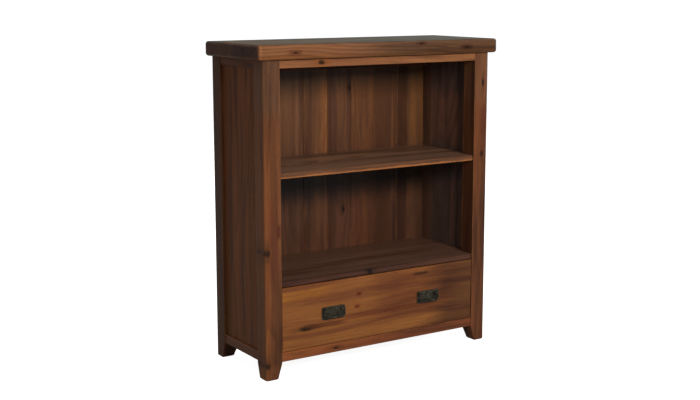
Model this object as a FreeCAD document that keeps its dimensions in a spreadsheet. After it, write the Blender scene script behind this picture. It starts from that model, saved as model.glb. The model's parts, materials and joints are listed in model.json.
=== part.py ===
"""Solid hardwood bookcase: two open bays over one wide drawer with two bail pulls.

Millimetres.  +X is to the viewer's right, +Y runs to the back, +Z is up.  The origin is on the
floor, in the middle of the width and of the depth over the top slab.
"""
import FreeCAD, Part
import os
import re
import Sketcher

# ---------------------------------------------------------------- driving dimensions

DIMENSIONS = {
    # the case, over the posts and over the slab's top
    "overall_height": 1050,
    "body_width": 872,
    "body_depth": 344,
    # top slab
    "top_thickness": 47,
    "top_side_overhang": 24,
    "top_front_overhang": 16,
    "top_corner_radius": 12,
    "top_edge_radius": 9.5,
    # corner posts and their tapered feet
    "post_size": 58,
    "post_arris_radius": 9.5,
    "inner_arris_radius": 1.5,
    "foot_height": 54,
    "foot_taper": 16,
    "foot_ease": 3,
    # rails
    "top_rail_height": 26,
    "bottom_rail_height": 30,
    "front_rail_depth": 50,
    "front_rail_setback": 2,
    "rail_edge_radius": 2,
    "rear_rail_height": 60,
    "rear_rail_thickness": 24,
    "side_rail_setback": 3,
    # mortise and tenon joints
    "tenon_length": 20,
    "tenon_thickness": 10,
    "tenon_shoulder": 5,
    "rear_tenon_inset": 3,
    "glue_gap": 0.1,
    # side panels, tongued into the posts and side rails
    "panel_recess": 10,
    "panel_thickness": 18,
    "panel_tongue_thickness": 8,
    "panel_tongue_length": 8,
    "panel_groove_depth": 9,
    "panel_tongue_gap": 0.2,
    "panel_shoulder_gap": 0.3,
    # tongue-and-groove back boards in a rebate
    "back_board_count": 8,
    "back_end_board_extra": 30,
    "back_thickness": 10,
    "back_rebate_width": 12,
    "back_rebate_height": 40,
    "back_tongue_thickness": 3,
    "back_tongue_length": 5,
    "back_groove_depth": 6,
    "back_board_gap": 0.6,
    "back_board_chamfer": 1.5,
    "back_fit_gap": 0.2,
    # drawer opening, deck, middle shelf and the cleats under them
    "drawer_opening": 210,
    "deck_thickness": 18,
    "lower_bay_height": 325,
    "shelf_thickness": 18,
    "shelf_setback": 5,
    "shelf_edge_radius": 3,
    "shelf_gap": 0.3,
    "cleat_width": 20,
    "cleat_height": 18,
    "cleat_ease": 2,
    # drawer runners, guides and stops
    "runner_width": 37,
    "runner_height": 18,
    "runner_tenon_length": 8,
    "runner_tenon_shoulder": 5,
    "guide_rise": 22,
    "guide_clearance": 1,
    "stop_offset": 250,
    "stop_length": 40,
    "stop_width": 18,
    "stop_height": 7,
    # drawer box
    "drawer_gap": 2,
    "drawer_front_setback": 1.5,
    "drawer_front_thickness": 22,
    "drawer_front_radius": 2,
    "drawer_rear_gap": 8.5,
    "drawer_side_thickness": 14,
    "drawer_side_height": 200,
    "drawer_back_thickness": 12,
    "drawer_back_drop": 6,
    "slide_clearance": 0.2,
    "drawer_bottom_thickness": 6,
    "bottom_groove_height": 10,
    "bottom_groove_depth": 7,
    "bottom_gap": 0.2,
    # dovetails: narrow at the root, wide at the end
    "front_tail_count": 5,
    "back_tail_count": 4,
    "tail_root_width": 22,
    "tail_end_width": 28,
    "dovetail_lap": 6,
    # bail pulls
    "plate_width": 88,
    "plate_height": 42,
    "plate_thickness": 2.5,
    "plate_corner_cut": 4,
    "plate_bevel": 0.8,
    "pivot_spacing": 60,
    "pivot_rise": 9,
    "pivot_reach": 7.5,
    "pull_post_diameter": 10,
    "pull_post_length": 11.5,
    "pull_post_chamfer": 1.8,
    "bail_side_gap": 0.5,
    "bail_arm_width": 5,
    "bail_thickness": 5.5,
    "bail_drop": 26,
    "bail_grip_height": 6.5,
    "bail_head": 3.6,
    "bail_head_chamfer": 1.6,
    "bail_corner_radius": 6,
    "bail_edge_chamfer": 1,
    "bail_pin_diameter": 4,
    "bail_pin_length": 8,
    "bail_pin_clearance": 0.05,
    # machine screws that hold the pull posts from inside the drawer
    "pull_screw_diameter": 4,
    "pull_screw_head_diameter": 8,
    "pull_screw_head_thickness": 2.2,
    "pull_screw_grip": 4,
    "pull_screw_gap": 0.1,
    "pull_screw_tip_gap": 0.5,
}

# Lengths that follow from the sheet.  Heights are over the floor, and depths are measured back
# from the front faces of the posts.
DERIVED = {
    "front_y": "(top_front_overhang - body_depth) / 2",
    "rear_y": "(top_front_overhang + body_depth) / 2",
    "slab_bottom": "overall_height - top_thickness",
    "top_rail_bottom": "slab_bottom - top_rail_height",
    "rail_top": "foot_height + bottom_rail_height",
    "deck_bottom": "rail_top + drawer_opening",
    "deck_top": "deck_bottom + deck_thickness",
    "shelf_bottom": "deck_top + lower_bay_height",
    "opening_half": "body_width / 2 - post_size",
    "panel_back": "panel_recess + panel_thickness",
    "inside_half": "body_width / 2 - panel_back",
    "rear_post_width": "panel_back",
    "tongue_face": "panel_recess + (panel_thickness - panel_tongue_thickness) / 2",
    "side_tenon_face": "tongue_face + (panel_tongue_thickness - tenon_thickness) / 2",
    "side_span": "body_depth - 2 * post_size",
    "back_face": "body_depth - back_thickness",
    "back_half": "inside_half + back_rebate_width",
    "back_pitch": "2 * (back_half - back_end_board_extra) / back_board_count",
    "back_bottom": "foot_height + rear_rail_height - back_rebate_height",
    "back_top": "slab_bottom - rear_rail_height + back_rebate_height",
    "drawer_half": "opening_half - drawer_gap",
    "drawer_front_back": "drawer_front_setback + drawer_front_thickness",
    "drawer_rear": "body_depth - rear_rail_thickness - drawer_rear_gap",
    "drawer_back_face": "drawer_rear - drawer_back_thickness",
    "drawer_inside_half": "drawer_half - drawer_side_thickness",
    "guide_face": "drawer_half + guide_clearance",
    "runner_bottom": "rail_top - runner_height",
    "groove_bottom": "slide_clearance + bottom_groove_height",
    "groove_top": "groove_bottom + drawer_bottom_thickness + 2 * bottom_gap",
    "drawer_side_top": "slide_clearance + drawer_side_height",
    "drawer_back_top": "drawer_side_top - drawer_back_drop",
    "pull_offset": "drawer_half / 2",
    "pull_height": "drawer_opening / 2",
    "pivot_half": "pivot_spacing / 2",
    "bail_inner_half": "pivot_half + pull_post_diameter / 2 + bail_side_gap",
    "bail_outer_half": "bail_inner_half + bail_arm_width",
}

LEFT, RIGHT = -1, 1
SIDES = (("left", LEFT), ("right", RIGHT))

doc = FreeCAD.newDocument("Bookcase")
sheet = doc.addObject("Spreadsheet::Sheet", "dims")
for row, (alias, number) in enumerate(DIMENSIONS.items(), start=1):
    sheet.set(f"A{row}", alias.replace("_", " "))
    sheet.set(f"B{row}", str(number))
    sheet.setAlias(f"B{row}", alias)
doc.recompute()


def bound(formula):
    """Write a plain formula with the sheet's cells, and the derived lengths spelt out."""
    def expand(match):
        word = match.group(0)
        if word in DERIVED:
            return "(" + bound(DERIVED[word]) + ")"
        return "dims." + word if word in DIMENSIONS else word
    return re.sub(r"[a-z_]+", expand, str(formula))


def value(formula):
    """The present length of a formula, for choosing edges and counting copies."""
    return float(sheet.evalExpression(bound(formula)))


# ---------------------------------------------------------------- one piece of the object

# plane: (axis across the sketch, axis up the sketch, axis the plane is level on, way it faces)
PLANES = {"XY": ("x", "y", "z", 1), "XZ": ("x", "z", "y", -1), "YZ": ("y", "z", "x", 1)}
PIECES = []


def rectangle(left, right, bottom, top):
    return [(left, bottom), (right, bottom), (right, top), (left, top)]


def grown(left, right, bottom, top, gap):
    """The same rectangle with a gap all round, for a mortise, a socket or a groove."""
    return rectangle(f"{left} - {gap}", f"{right} + {gap}", f"{bottom} - {gap}", f"{top} + {gap}")


class Piece:
    """A body drawn once in its own frame, and flipped in x or y for its mirrored twin."""

    def __init__(self, name, x="0", y="front_y", z="0", flip_x=1, flip_y=1, group=False):
        self.body = doc.addObject("PartDesign::Body", name)
        self.body.Label = name
        self.body.AllowCompound = group
        self.flip = {"x": flip_x, "y": flip_y, "z": 1}
        self.volume = 0.0
        for axis, formula in (("x", x), ("y", y), ("z", z)):
            self.body.setExpression(f"Placement.Base.{axis}", bound(formula))
        PIECES.append(self.body)

    def sketch(self, name, plane, level):
        across, up, normal, facing = PLANES[plane]
        drawing = self.body.newObject("Sketcher::SketchObject", name + "_sketch")
        role = plane + "_Plane"
        support = next(item for item in self.body.Origin.OriginFeatures if item.Role == role)
        drawing.AttachmentSupport = (support, [""])
        drawing.MapMode = "FlatFace"
        side = facing * self.flip[normal]
        drawing.setExpression("AttachmentOffset.Base.z", bound(f"{side} * ({level})"))
        return drawing, self.flip[across], self.flip[up]

    def constrain(self, drawing, joins, points, diameter=None):
        """Join the ends of lines, and hold points of the sketch at bound distances from its origin."""
        rules = [Sketcher.Constraint("Coincident", *ends) for ends in joins]
        formulas = []
        for geometry, vertex, u, v in points:
            for kind, formula in (("DistanceX", u), ("DistanceY", v)):
                rules.append(Sketcher.Constraint(kind, -1, 1, geometry, vertex, value(formula)))
                formulas.append((rules[-1], f"{kind}{geometry}", formula))
            if diameter:
                rules.append(Sketcher.Constraint("Diameter", geometry, value(diameter)))
                formulas.append((rules[-1], f"Diameter{geometry}", diameter))
        for rule, name, formula in formulas:
            rule.Name = name
        drawing.addConstraint(rules)
        for rule, name, formula in formulas:
            drawing.setExpression("Constraints." + name, bound(formula))

    def outline(self, name, plane, points, level):
        """A closed sketch of straight lines through bound points."""
        drawing, flip_u, flip_v = self.sketch(name, plane, level)
        corners = [(f"{flip_u} * ({u})", f"{flip_v} * ({v})") for u, v in points]
        spots = [FreeCAD.Vector(value(u), value(v), 0) for u, v in corners]
        count = len(spots)
        following = [(index + 1) % count for index in range(count)]
        drawing.addGeometry([Part.LineSegment(spots[index], spots[after])
                             for index, after in enumerate(following)])
        joins = [(index, 2, after, 1) for index, after in enumerate(following)]
        self.constrain(drawing, joins, [(index, 1, u, v) for index, (u, v) in enumerate(corners)])
        return drawing

    def circles(self, name, plane, centres, diameter, level):
        """A sketch of equal circles at bound centres."""
        drawing, flip_u, flip_v = self.sketch(name, plane, level)
        centres = [(f"{flip_u} * ({u})", f"{flip_v} * ({v})") for u, v in centres]
        upright = FreeCAD.Vector(0, 0, 1)
        drawing.addGeometry([Part.Circle(FreeCAD.Vector(value(u), value(v), 0), upright,
                                         value(diameter) / 2) for u, v in centres])
        self.constrain(drawing, [], [(index, 3, u, v) for index, (u, v) in enumerate(centres)],
                       diameter)
        return drawing

    def refresh(self):
        """Recompute this body alone, and say by how much its volume has changed."""
        doc.recompute([self.body])
        before, self.volume = self.volume, self.body.Tip.Shape.Volume
        return self.volume - before

    def build(self, kind, name, settings, adds):
        """Make one feature, and make sure that it adds or takes away material."""
        feature = self.body.newObject("PartDesign::" + kind, name)
        settings(feature)
        change = self.refresh()
        if (change > 0) != adds or abs(change) < 1e-6:
            raise RuntimeError(f"{self.body.Label}: {name} changes the volume by {change:.3f}")
        return feature

    def pad(self, name, plane, profile, level, length, towards=1):
        """Add material from a level, towards + or - of the piece's own axis."""
        normal, facing = PLANES[plane][2:]

        def settings(feature):
            feature.Profile = profile
            feature.setExpression("Length", bound(length))
            feature.Reversed = towards * self.flip[normal] != facing
        if isinstance(profile, list):
            profile = self.outline(name, plane, profile, level)
        return self.build("Pad", name, settings, True)

    def pocket(self, name, plane, profile, level, length, towards=1):
        """Cut material away from a level, towards + or - of the piece's own axis."""
        normal, facing = PLANES[plane][2:]

        def settings(feature):
            feature.Profile = profile
            feature.setExpression("Length", bound(length))
            feature.Reversed = towards * self.flip[normal] == facing
        if isinstance(profile, list):
            profile = self.outline(name, plane, profile, level)
        return self.build("Pocket", name, settings, False)

    def drill(self, name, plane, centres, level, depth, bore, towards=1):
        """Round holes with flat ends."""
        normal, facing = PLANES[plane][2:]
        drawing = self.circles(name, plane, centres, bore, level)

        def settings(feature):
            feature.Profile = drawing
            doc.recompute([feature])
            feature.Reversed = towards * self.flip[normal] == facing
            feature.Threaded = False
            feature.DepthType = "Dimension"
            feature.DrillPoint = "Flat"
            feature.setExpression("Diameter", bound(bore))
            feature.setExpression("Depth", bound(depth))
        return self.build("Hole", name, settings, False)

    def repeat(self, name, features, axis, copies, length):
        """Copy features along one of the body's own axes."""
        pattern = self.body.newObject("PartDesign::LinearPattern", name)
        pattern.Originals = features
        role = axis + "_Axis"
        line = next(item for item in self.body.Origin.OriginFeatures if item.Role == role)
        pattern.Direction = (line, [""])
        pattern.setExpression("Occurrences", bound(copies))
        pattern.setExpression("Length", bound(length))
        self.body.Tip = pattern
        self.refresh()

    def ease(self, name, kind, size, chosen):
        """Round or chamfer the edges that pass a test on their middle point and direction."""
        names = []
        for index, edge in enumerate(self.body.Tip.Shape.Edges, start=1):
            middle = edge.valueAt((edge.FirstParameter + edge.LastParameter) / 2)
            start, end = edge.valueAt(edge.FirstParameter), edge.valueAt(edge.LastParameter)
            run = end - start
            spans = [abs(run.x), abs(run.y), abs(run.z)]
            straight = edge.Curve.TypeId == "Part::GeomLine" and max(spans) > sum(spans) - 1e-6
            along = "xyz"[spans.index(max(spans))] if straight else ""
            if chosen(middle.x * self.flip["x"], middle.y * self.flip["y"], middle.z, along):
                names.append(f"Edge{index}")
        base = self.body.Tip
        feature = self.body.newObject("PartDesign::" + kind, name)
        feature.Base = (base, names)
        feature.setExpression("Radius" if kind == "Fillet" else "Size", bound(size))
        self.refresh()


def near(number, formula):
    return abs(number - value(formula)) < 0.01


# ---------------------------------------------------------------- joints in the timber

def front_rail_tenon(bottom, top):
    """Section of a front rail's tenon, in depth and height."""
    return ("front_rail_setback + tenon_shoulder",
            "front_rail_setback + front_rail_depth - tenon_shoulder",
            f"{bottom} + tenon_shoulder", f"{top} - tenon_shoulder")


def rear_rail_tenon(bottom, top):
    """Section of a rear rail's tenon, in depth from the rear face and height."""
    near_face = "back_thickness + rear_tenon_inset"
    return (near_face, f"{near_face} + tenon_thickness",
            f"{bottom} + tenon_shoulder", f"{top} - tenon_shoulder")


def side_rail_tenon(bottom, top, grooved):
    """Section of a side rail's tenon, in width and height: it stops short of the groove."""
    low, high = "tenon_shoulder", "tenon_shoulder"
    if grooved == "top":
        high = "panel_groove_depth"
    else:
        low = "panel_groove_depth"
    return ("side_tenon_face", "side_tenon_face + tenon_thickness",
            f"{bottom} + {low}", f"{top} - {high}")


RAIL_LEVELS = {
    "top_rail": ("top_rail_bottom", "slab_bottom"),
    "bottom_rail": ("foot_height", "rail_top"),
}
REAR_RAIL_LEVELS = {
    "top_rail": ("slab_bottom - rear_rail_height", "slab_bottom"),
    "bottom_rail": ("foot_height", "foot_height + rear_rail_height"),
}
GROOVED_EDGE = {"top_rail": "bottom", "bottom_rail": "top"}
PANEL_GROOVE = ("tongue_face - panel_tongue_gap",
                "tongue_face + panel_tongue_thickness + panel_tongue_gap")


# ---------------------------------------------------------------- corner posts

FOOT_WEDGE = [("post_size - foot_taper", "0"), ("post_size", "0"), ("post_size", "foot_height")]


def corner(name, side, rear):
    """An empty piece with its own frame at an outer corner of the case, x and y inwards."""
    return Piece(name, f"{side} * body_width / 2", "rear_y" if rear else "front_y",
                 flip_x=-side, flip_y=-1 if rear else 1)


def post(name, side, rear):
    """A post mortised for its rails: square in front, and flush with the side panel behind."""
    leg = corner(name, side, rear)
    width = "rear_post_width" if rear else "post_size"
    leg.pad("stock", "XY", rectangle("0", width, "0", "post_size"), "0", "slab_bottom")
    leg.ease("outer_arris", "Fillet", "post_arris_radius",
             lambda x, y, z, along: along == "z" and near(x, "0") and near(y, "0"))
    leg.ease("other_arrises", "Fillet", "inner_arris_radius",
             lambda x, y, z, along: along == "z"
             and ((near(x, "0") and near(y, "post_size"))
                  or (near(x, "post_size") and near(y, "0"))))
    if not rear:
        leg.pocket("foot_taper_across", "XZ", FOOT_WEDGE, "0", "post_size")
    leg.pocket("foot_taper_back", "YZ", FOOT_WEDGE, "0", width)
    leg.ease("foot_edges", "Chamfer", "foot_ease",
             lambda x, y, z, along: near(z, "0") and not (rear and near(x, width)))
    levels = REAR_RAIL_LEVELS if rear else RAIL_LEVELS
    section = rear_rail_tenon if rear else front_rail_tenon
    for rail, (bottom, top) in levels.items():
        mortise = grown(*section(bottom, top), "glue_gap")
        leg.pocket(rail + "_mortise", "YZ", mortise, width, "tenon_length + glue_gap", -1)
    for rail, (bottom, top) in RAIL_LEVELS.items():
        mortise = grown(*side_rail_tenon(bottom, top, GROOVED_EDGE[rail]), "glue_gap")
        leg.pocket("side_" + rail + "_mortise", "XZ", mortise, "post_size",
                   "tenon_length + glue_gap", -1)
    groove = rectangle(*PANEL_GROOVE, "rail_top - panel_groove_depth",
                       "top_rail_bottom + panel_groove_depth")
    leg.pocket("panel_groove", "XZ", groove, "post_size", "panel_groove_depth", -1)
    if rear:
        rebate = rectangle(f"{width} - back_rebate_width", width, "0", "back_thickness")
        leg.pocket("back_rebate", "XY", rebate, "back_bottom", "back_top - back_bottom")


def foot_block(name, side):
    """A block glued to a rear post, so that its foot is as wide and tapered as a front one."""
    block = corner(name, side, rear=True)
    block.pad("stock", "XY", rectangle("rear_post_width", "post_size", "0", "post_size"),
              "0", "foot_height")
    block.ease("arrises", "Fillet", "inner_arris_radius",
               lambda x, y, z, along: along == "z" and near(x, "post_size"))
    block.pocket("taper_across", "XZ", FOOT_WEDGE, "0", "post_size")
    block.pocket("taper_back", "YZ", FOOT_WEDGE, "rear_post_width",
                 "post_size - rear_post_width")
    block.ease("foot_edges", "Chamfer", "foot_ease",
               lambda x, y, z, along: near(z, "0") and not near(x, "rear_post_width"))


for side_name, side in SIDES:
    post(f"front_{side_name}_post", side, rear=False)
    post(f"rear_{side_name}_post", side, rear=True)
    foot_block(f"rear_{side_name}_foot_block", side)


# ---------------------------------------------------------------- rails

def add_end_tenons(rail, tenon, half_span):
    for end_name, end in SIDES:
        rail.pad(f"{end_name}_tenon", "YZ", rectangle(*tenon), f"{end} * {half_span}",
                 "tenon_length", end)


RUNNER_TENON = ("guide_face - runner_width + runner_tenon_shoulder",
                "guide_face - runner_tenon_shoulder",
                "runner_bottom + runner_tenon_shoulder", "rail_top - runner_tenon_shoulder")


def add_runner_mortises(rail, level, towards):
    """Blind mortises for the runners' stub tenons, one at each side."""
    left, right, bottom, top = RUNNER_TENON
    for side_name, side in SIDES:
        mortise = rectangle(f"{side} * ({left} - glue_gap)", f"{side} * ({right} + glue_gap)",
                            f"{bottom} - glue_gap", f"{top} + glue_gap")
        rail.pocket(f"{side_name}_runner_mortise", "XZ", mortise, level,
                    "runner_tenon_length + glue_gap", towards)


for rail_name, (bottom, top) in RAIL_LEVELS.items():
    front_rail = Piece("front_" + rail_name)
    section = rectangle("front_rail_setback", "front_rail_setback + front_rail_depth", bottom, top)
    front_rail.pad("stock", "YZ", section, "-opening_half", "2 * opening_half")
    front_rail.ease("front_edges", "Fillet", "rail_edge_radius",
                    lambda x, y, z, along: along == "x" and near(y, "front_rail_setback"))
    add_end_tenons(front_rail, front_rail_tenon(bottom, top), "opening_half")
    if rail_name == "bottom_rail":
        add_runner_mortises(front_rail, "front_rail_setback + front_rail_depth", -1)

for rail_name, (bottom, top) in REAR_RAIL_LEVELS.items():
    rear_rail = Piece("rear_" + rail_name, y="rear_y", flip_y=-1)
    section = rectangle("0", "rear_rail_thickness", bottom, top)
    rear_rail.pad("stock", "YZ", section, "-inside_half", "2 * inside_half")
    low = bottom if rail_name == "top_rail" else f"{top} - back_rebate_height"
    rebate = rectangle("0", "back_thickness", low, f"{low} + back_rebate_height")
    rear_rail.pocket("back_rebate", "YZ", rebate, "-inside_half", "2 * inside_half")
    add_end_tenons(rear_rail, rear_rail_tenon(bottom, top), "inside_half")
    if rail_name == "bottom_rail":
        add_runner_mortises(rear_rail, "rear_rail_thickness", -1)
for side_name, side in SIDES:
    for rail_name, (bottom, top) in RAIL_LEVELS.items():
        side_rail = Piece(f"{side_name}_side_{rail_name}", f"{side} * body_width / 2", flip_x=-side)
        section = rectangle("side_rail_setback", "panel_back", bottom, top)
        side_rail.pad("stock", "XZ", section, "post_size", "side_span")
        side_rail.ease("outer_edges", "Fillet", "rail_edge_radius",
                       lambda x, y, z, along: along == "y" and near(x, "side_rail_setback"))
        if GROOVED_EDGE[rail_name] == "top":
            groove = rectangle(*PANEL_GROOVE, f"{top} - panel_groove_depth", top)
        else:
            groove = rectangle(*PANEL_GROOVE, bottom, f"{bottom} + panel_groove_depth")
        side_rail.pocket("panel_groove", "XZ", groove, "post_size", "side_span")
        tenon = rectangle(*side_rail_tenon(bottom, top, GROOVED_EDGE[rail_name]))
        side_rail.pad("front_tenon", "XZ", tenon, "post_size", "tenon_length", -1)
        side_rail.pad("rear_tenon", "XZ", tenon, "body_depth - post_size", "tenon_length")


# ---------------------------------------------------------------- side panels

for side_name, side in SIDES:
    panel = Piece(f"{side_name}_side_panel", f"{side} * body_width / 2", flip_x=-side)
    field = ("post_size + panel_shoulder_gap", "body_depth - post_size - panel_shoulder_gap",
             "rail_top + panel_shoulder_gap", "top_rail_bottom - panel_shoulder_gap")
    panel.pad("field", "YZ", rectangle(*field), "panel_recess", "panel_thickness")
    panel.pad("tongues", "YZ", grown(*field, "panel_tongue_length"), "tongue_face",
              "panel_tongue_thickness")


# ---------------------------------------------------------------- back boards

def back_board(index, count):
    """One upright board: a groove on its left edge, a tongue on its right, eased front corners.

    The boards at the two ends are left wider, to reach into the rebates of the posts.
    """
    left = f"({index} - {count} / 2) * back_pitch" if index > 0 else "-back_half"
    right = f"({index + 1} - {count} / 2) * back_pitch" if index < count - 1 else "back_half"
    board = Piece(f"back_board_{index + 1}", f"{left} + back_board_gap / 2")
    front, rear, width = "back_face", "body_depth", f"({right} - ({left}) - back_board_gap)"
    middle = "(body_depth - back_thickness / 2)"
    outline = [("back_board_chamfer", front), (f"{width} - back_board_chamfer", front),
               (width, f"{front} + back_board_chamfer")]
    if index < count - 1:
        reach = f"{width} + back_tongue_length"
        outline += [(width, f"{middle} - back_tongue_thickness / 2"),
                    (reach, f"{middle} - back_tongue_thickness / 2"),
                    (reach, f"{middle} + back_tongue_thickness / 2"),
                    (width, f"{middle} + back_tongue_thickness / 2")]
    outline += [(width, rear), ("0", rear)]
    if index > 0:
        half = "(back_tongue_thickness / 2 + back_fit_gap)"
        outline += [("0", f"{middle} + {half}"), ("back_groove_depth", f"{middle} + {half}"),
                    ("back_groove_depth", f"{middle} - {half}"), ("0", f"{middle} - {half}")]
    outline += [("0", f"{front} + back_board_chamfer")]
    board.pad("board", "XY", outline, "back_bottom + back_fit_gap",
              "back_top - back_bottom - 2 * back_fit_gap")


for board_index in range(int(value("back_board_count"))):
    back_board(board_index, int(value("back_board_count")))


# ---------------------------------------------------------------- shelf, deck and cleats

def notched_shelf(name, bottom, thickness):
    """A board between the side panels, notched round the two front posts."""
    board = Piece(name)
    narrow, wide = "(opening_half - shelf_gap)", "(inside_half - shelf_gap)"
    front, rear = "shelf_setback", "back_face - shelf_gap"
    notch = "post_size + shelf_gap"
    right_side = [(narrow, front), (narrow, notch), (wide, notch), (wide, rear)]
    left_side = [(f"-{x}", y) for x, y in reversed(right_side)]
    board.pad("board", "XY", right_side + left_side, bottom, thickness)
    board.ease("front_edges", "Fillet", "shelf_edge_radius",
               lambda x, y, z, along: along == "x" and near(y, front))


def cleat(name, side, top, height):
    """A batten glued to the inner face of the side, with its free lower edge eased."""
    batten = Piece(name, f"{side} * body_width / 2", flip_x=-side)
    inner = "panel_back + cleat_width"
    section = rectangle("panel_back", inner, f"{top} - {height}", top)
    batten.pad("batten", "XZ", section, "post_size + shelf_gap", "side_span - 2 * shelf_gap")
    batten.ease("free_edge", "Chamfer", "cleat_ease",
                lambda x, y, z, along: along == "y" and near(x, inner)
                and near(z, f"{top} - {height}"))


notched_shelf("middle_shelf", "shelf_bottom", "shelf_thickness")
notched_shelf("drawer_deck", "deck_bottom", "deck_thickness")
for side_name, side in SIDES:
    cleat(f"{side_name}_shelf_cleat", side, "shelf_bottom", "cleat_height")
    cleat(f"{side_name}_deck_cleat", side, "deck_bottom", "cleat_height")
    cleat(f"{side_name}_top_cleat", side, "slab_bottom", "top_rail_height")


# ---------------------------------------------------------------- top slab

slab = Piece("top_board")
slab_half = "(body_width / 2 + top_side_overhang)"
slab_face = rectangle(f"-{slab_half}", slab_half, "-top_front_overhang", "body_depth")
slab.pad("slab", "XY", slab_face, "slab_bottom", "top_thickness")
slab.ease("corners", "Fillet", "top_corner_radius", lambda x, y, z, along: along == "z")
slab.ease("edges", "Fillet", "top_edge_radius",
          lambda x, y, z, along: near(z, "slab_bottom") or near(z, "overall_height"))


# ---------------------------------------------------------------- drawer runners, guides, stops

RUNNER_FRONT = "front_rail_setback + front_rail_depth"
RUNNER_REAR = "body_depth - rear_rail_thickness"

for side_name, side in SIDES:
    runner = Piece(f"{side_name}_drawer_runner", flip_x=side)
    section = rectangle("guide_face - runner_width", "guide_face", "runner_bottom", "rail_top")
    runner.pad("batten", "XZ", section, RUNNER_FRONT, f"{RUNNER_REAR} - ({RUNNER_FRONT})")
    runner.pad("front_tenon", "XZ", rectangle(*RUNNER_TENON), RUNNER_FRONT,
               "runner_tenon_length", -1)
    runner.pad("rear_tenon", "XZ", rectangle(*RUNNER_TENON), RUNNER_REAR, "runner_tenon_length")

    guide = Piece(f"{side_name}_drawer_guide", flip_x=side)
    section = rectangle("guide_face", "inside_half", "runner_bottom", "rail_top + guide_rise")
    guide.pad("batten", "XZ", section, "post_size + shelf_gap", "side_span - 2 * shelf_gap")
    guide.ease("free_edge", "Chamfer", "cleat_ease",
               lambda x, y, z, along: along == "y" and near(x, "guide_face")
               and near(z, "rail_top + guide_rise"))

stops = Piece("drawer_stops", group=True)
for side_name, side in SIDES:
    block = rectangle(f"{side} * stop_offset - stop_length / 2",
                      f"{side} * stop_offset + stop_length / 2",
                      "drawer_front_back + slide_clearance",
                      "drawer_front_back + slide_clearance + stop_width")
    stops.pad(f"{side_name}_stop", "XY", block, "rail_top", "stop_height")


# ---------------------------------------------------------------- drawer box

def tail(root, end, centre, gap="0"):
    """One dovetail seen from the side: narrow at its root, wide at its end."""
    root_half, end_half = f"(tail_root_width / 2 + {gap})", f"(tail_end_width / 2 + {gap})"
    return [(root, f"{centre} - {root_half}"), (end, f"{centre} - {end_half}"),
            (end, f"{centre} + {end_half}"), (root, f"{centre} + {root_half}")]


FRONT_TAIL_PITCH = "(drawer_side_height / front_tail_count)"
BACK_TAIL_PITCH = "((drawer_back_top - groove_top) / back_tail_count)"
FRONT_TAIL_CENTRE = f"slide_clearance + {FRONT_TAIL_PITCH} / 2"
BACK_TAIL_CENTRE = f"groove_top + {BACK_TAIL_PITCH} / 2"
BACK_TAIL_SPAN = f"{BACK_TAIL_PITCH} * (back_tail_count - 1)"
FRONT_TAIL_SPAN = f"{FRONT_TAIL_PITCH} * (front_tail_count - 1)"
LAP_FACE = "drawer_front_setback + dovetail_lap"

front = Piece("drawer_front", z="rail_top")
front_face = rectangle("-drawer_half", "drawer_half", "drawer_gap", "drawer_opening - drawer_gap")
front.pad("board", "XZ", front_face, "drawer_front_setback", "drawer_front_thickness")
front.ease("face_edges", "Fillet", "drawer_front_radius",
           lambda x, y, z, along: near(y, "drawer_front_setback"))
sockets = []
for side_name, side in SIDES:
    socket = tail("drawer_front_back", f"{LAP_FACE} - glue_gap", FRONT_TAIL_CENTRE, "glue_gap")
    sockets.append(front.pocket(f"{side_name}_socket", "YZ", socket, f"{side} * drawer_half",
                                "drawer_side_thickness + glue_gap", -side))
front.repeat("socket_row", sockets, "Z", "front_tail_count", FRONT_TAIL_SPAN)
groove_half = "(drawer_inside_half + bottom_groove_depth)"
front.pocket("bottom_groove", "XZ", rectangle(f"-{groove_half}", groove_half,
                                              "groove_bottom", "groove_top"),
             "drawer_front_back", "bottom_groove_depth", -1)
PULL_SCREW_SPOTS = [(f"{side} * pull_offset + {end} * pivot_half", "pull_height + pivot_rise")
                    for side in (LEFT, RIGHT) for end in (-1, 1)]
front.drill("pull_screw_holes", "XZ", PULL_SCREW_SPOTS, "drawer_front_setback",
            "drawer_front_thickness", "pull_screw_diameter + 2 * pull_screw_gap")

for side_name, side in SIDES:
    box_side = Piece(f"drawer_{side_name}_side", z="rail_top", flip_x=side)
    face = rectangle("drawer_front_back", "drawer_back_face", "slide_clearance", "drawer_side_top")
    box_side.pad("board", "YZ", face, "drawer_inside_half", "drawer_side_thickness")
    front_tail = box_side.pad("front_tail", "YZ",
                              tail("drawer_front_back", LAP_FACE, FRONT_TAIL_CENTRE),
                              "drawer_inside_half", "drawer_side_thickness")
    box_side.repeat("front_tails", [front_tail], "Z", "front_tail_count", FRONT_TAIL_SPAN)
    back_tail = box_side.pad("back_tail", "YZ",
                             tail("drawer_back_face", "drawer_rear", BACK_TAIL_CENTRE),
                             "drawer_inside_half", "drawer_side_thickness")
    box_side.repeat("back_tails", [back_tail], "Z", "back_tail_count", BACK_TAIL_SPAN)
    box_side.pocket("bottom_groove", "YZ",
                    rectangle(LAP_FACE, "drawer_rear", "groove_bottom", "groove_top"),
                    "drawer_inside_half", "bottom_groove_depth")

back = Piece("drawer_back", z="rail_top")
back_outline = rectangle("-drawer_half", "drawer_half", "groove_top", "drawer_back_top")
back.pad("board", "XZ", back_outline, "drawer_back_face", "drawer_back_thickness")
sockets = []
for side_name, side in SIDES:
    socket = tail("drawer_back_face", "drawer_rear", BACK_TAIL_CENTRE, "glue_gap")
    sockets.append(back.pocket(f"{side_name}_socket", "YZ", socket, f"{side} * drawer_half",
                               "drawer_side_thickness + glue_gap", -side))
back.repeat("socket_row", sockets, "Z", "back_tail_count", BACK_TAIL_SPAN)

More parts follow.
